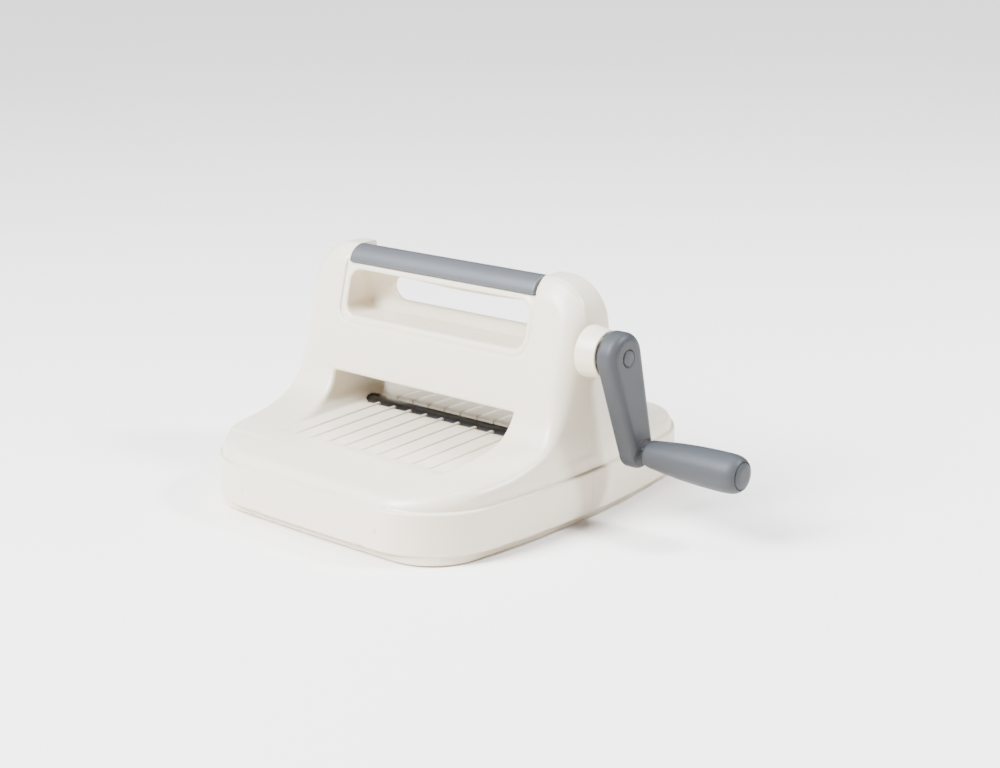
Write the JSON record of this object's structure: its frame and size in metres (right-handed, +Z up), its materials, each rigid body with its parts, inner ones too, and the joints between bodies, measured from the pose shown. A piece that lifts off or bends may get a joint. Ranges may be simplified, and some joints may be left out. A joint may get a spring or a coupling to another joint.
{
  "type": "die cutting machine",
  "caption": "Hand-cranked die cutting and embossing machine: ribbed feed platforms, a roller gap under a handle tower, and a side crank with a grip.",
  "frame": {"origin": "on the floor plane under the middle of the whole machine's bounding box, crank grip included", "axes": "+X along the rollers towards the crank, -Y the infeed side, +Z up"},
  "size_m": [0.3675, 0.286, 0.164],
  "materials": {
    "ivory_plastic": "satin",
    "grey_plastic": "satin",
    "cream_plastic": "satin",
    "foot_rubber": "matte",
    "dark_steel": "satin",
    "bright_steel": "satin",
    "bush_brass": "satin",
    "gear_nylon": "satin"
  },
  "bodies": {
    "frame": {"front_housing": "ivory_plastic", "rear_housing": "ivory_plastic", "handle_cover": "grey_plastic", "base_plate": "ivory_plastic", "base_screw_1": "bright_steel", "base_screw_2": "bright_steel", "base_screw_3": "bright_steel", "base_screw_4": "bright_steel", "foot_front_left": "foot_rubber", "foot_rear_left": "foot_rubber", "foot_front_right": "foot_rubber", "foot_rear_right": "foot_rubber", "left_housing_screw": "bright_steel", "right_housing_screw": "bright_steel", "left_side_plate": "bright_steel", "right_side_plate": "bright_steel", "gear_plate": "bright_steel", "front_tie_rod": "bright_steel", "rear_tie_rod": "bright_steel", "top_tie_rod": "bright_steel", "gear_spacer_front": "bright_steel", "gear_spacer_rear": "bright_steel", "lower_right_bush": "bush_brass", "lower_left_bush": "bush_brass", "upper_right_bush": "bush_brass", "upper_left_bush": "bush_brass", "crank_inner_bush": "bush_brass", "crank_outer_bush": "bush_brass", "crank_collar": "cream_plastic", "collar_bush": "gear_nylon"},
    "upper_roller_body": {"upper_roller": "dark_steel", "upper_roller_shaft": "bright_steel", "upper_sync_gear": "gear_nylon", "drive_gear": "gear_nylon"},
    "lower_roller_body": {"lower_roller": "dark_steel", "lower_roller_shaft": "bright_steel", "lower_sync_gear": "gear_nylon"},
    "crank": {"crank_arm": "grey_plastic", "crank_shaft": "bright_steel", "crank_pinion": "bright_steel", "crank_washer": "bright_steel", "crank_screw": "bright_steel", "crank_screw_cap": "grey_plastic", "grip_axle": "bright_steel", "grip_axle_nut": "bright_steel"},
    "grip": {"crank_grip": "grey_plastic", "grip_end_cap": "grey_plastic"}
  },
  "joints": [
    {"name": "upper_roller_turn", "type": "hinge", "parent": "frame", "child": "upper_roller_body", "pos_m": [-0.05425, 0, 0.083], "axis": [1, 0, 0], "continuous": true},
    {"name": "lower_roller_turn", "type": "hinge", "parent": "frame", "child": "lower_roller_body", "pos_m": [-0.05425, 0, 0.0395], "axis": [1, 0, 0], "continuous": true},
    {"name": "crank_turn", "type": "hinge", "parent": "frame", "child": "crank", "pos_m": [0.08, 0, 0.1194], "axis": [1, 0, 0], "continuous": true},
    {"name": "grip_spin", "type": "hinge", "parent": "crank", "child": "grip", "pos_m": [0.14, 0.01844, 0.05063], "axis": [1, 0, 0], "continuous": true}
  ],
  "couplings": [
    {"joint": "lower_roller_turn", "follows": "upper_roller_turn", "ratio": -1},
    {"joint": "crank_turn", "follows": "upper_roller_turn", "ratio": -1.7368}
  ]
}
